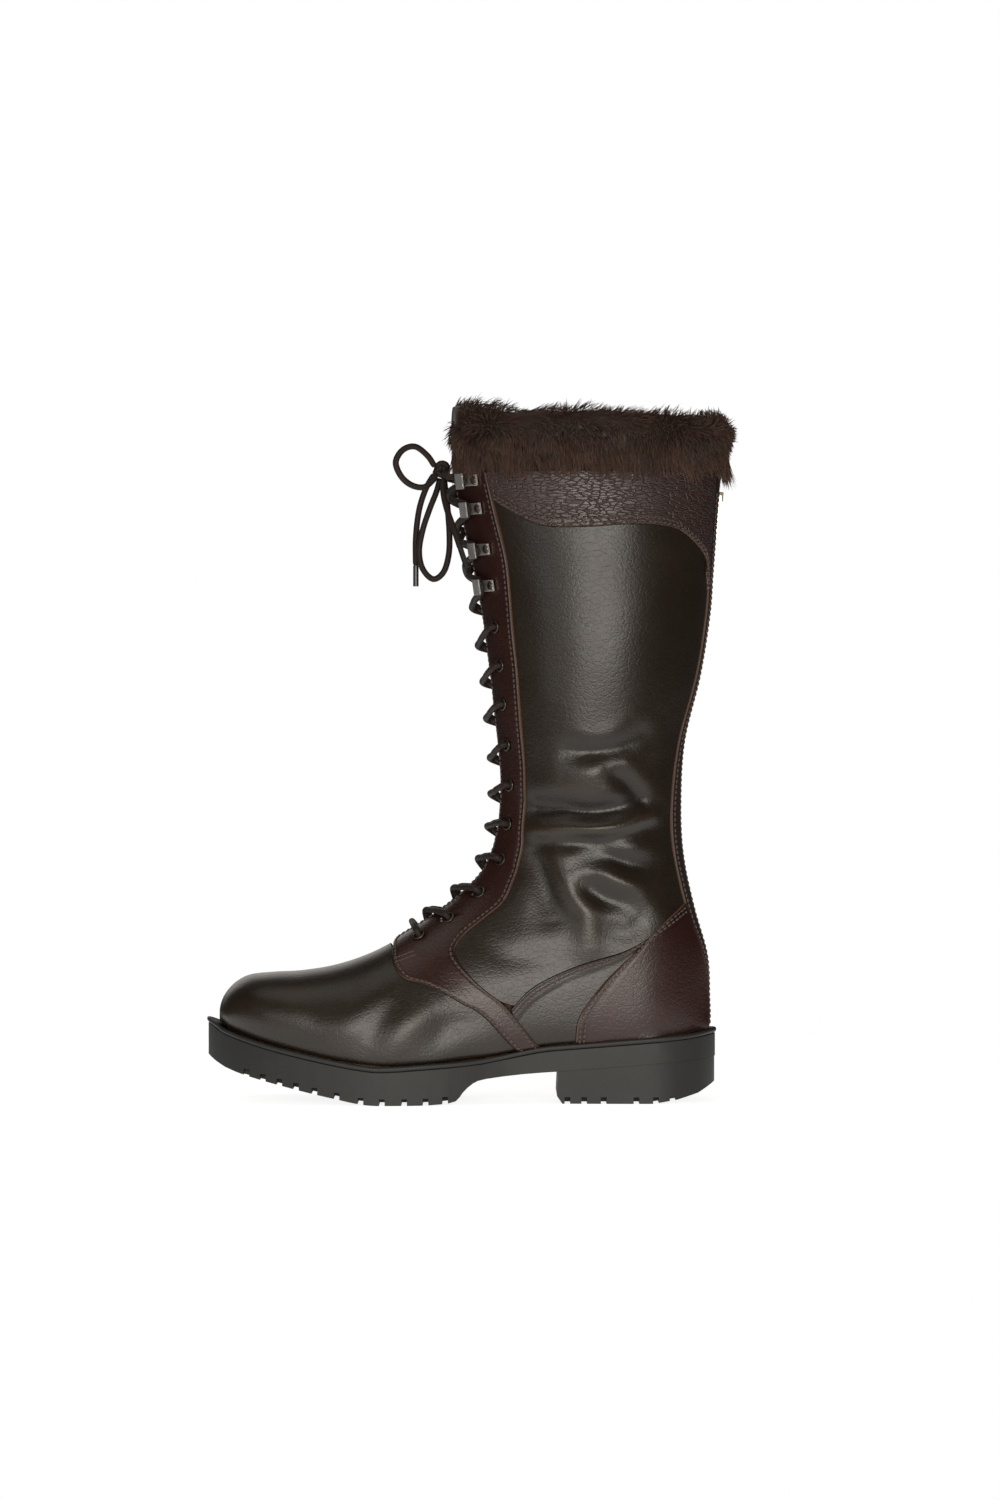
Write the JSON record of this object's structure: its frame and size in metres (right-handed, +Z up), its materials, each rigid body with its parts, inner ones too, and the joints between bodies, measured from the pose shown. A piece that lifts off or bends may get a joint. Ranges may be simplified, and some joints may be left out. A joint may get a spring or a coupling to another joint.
{
  "type": "tall lace-up leather boot",
  "caption": "Tall laced country boot for the left foot with a fleece-lined leather upper, fur cuff, speed hooks, rear zip, rubber welt lip and lugged rubber sole with a separate heel.",
  "frame": {"origin": "centre of the footprint box on the ground plane, under the boot", "axes": "-X towards the toe, -Y towards the outer (lateral) side, +Z up the shaft"},
  "size_m": [0.2992, 0.1162, 0.4017],
  "materials": {
    "sole_rubber": "matt moulded rubber",
    "cork": "matt",
    "shank_steel": "plain",
    "board": "matt",
    "fleece": "pile",
    "olive_leather": "waxed, satin",
    "brown_leather": "waxed, satin",
    "grained_leather": "coarse grain",
    "fur": "long pile",
    "gunmetal": "dark plated",
    "hook_steel": "bright",
    "zip_fabric": "woven",
    "lace": "braided",
    "aglet_plastic": "gloss"
  },
  "bodies": {
    "boot": {"outsole": "sole_rubber", "heel_block": "sole_rubber", "welt": "sole_rubber", "cork_filler": "cork", "shank": "shank_steel", "insole_board": "board", "footbed": "fleece", "vamp": "olive_leather", "toe_puff": "board", "vamp_lining": "fleece", "quarter_lateral": "olive_leather", "quarter_medial": "olive_leather", "lower_quarter_lateral": "olive_leather", "lower_quarter_medial": "olive_leather", "heel_cover_lateral": "brown_leather", "heel_cover_medial": "brown_leather", "heel_stiffener": "board", "eyestay_lateral": "brown_leather", "eyestay_medial": "brown_leather", "collar_lateral": "grained_leather", "collar_medial": "grained_leather", "back_strip_lateral": "brown_leather", "back_strip_medial": "brown_leather", "shaft_lining_lateral": "fleece", "shaft_lining_medial": "fleece", "tongue": "olive_leather", "tongue_lining": "fleece", "fur_cuff_lateral": "fur", "fur_cuff_medial": "fur", "eyelets_lateral": "gunmetal", "eyelets_medial": "gunmetal", "hooks_lateral": "hook_steel", "hooks_medial": "hook_steel", "hook_rivets": "hook_steel", "zip_tape_lateral": "zip_fabric", "zip_tape_medial": "zip_fabric", "zip_teeth_lateral": "gunmetal", "zip_teeth_medial": "gunmetal", "zip_stop": "gunmetal", "lacing": "lace", "lace_knot": "lace", "lace_bow": "lace", "lace_tails": "lace", "aglets": "aglet_plastic"},
    "slider": {"zip_slider": "gunmetal"},
    "pull": {"zip_pull": "hook_steel"}
  },
  "joints": [
    {"name": "zip_slide", "type": "slide", "parent": "boot", "child": "slider", "axis": [-0.0788, 0, -0.9969], "range_m": [0, 0.042]},
    {"name": "zip_pull_swing", "type": "hinge", "parent": "slider", "child": "pull", "pos_m": [0.14339, 0, 0.34487], "axis": [0, -1, 0], "range_deg": [0, 150]}
  ]
}
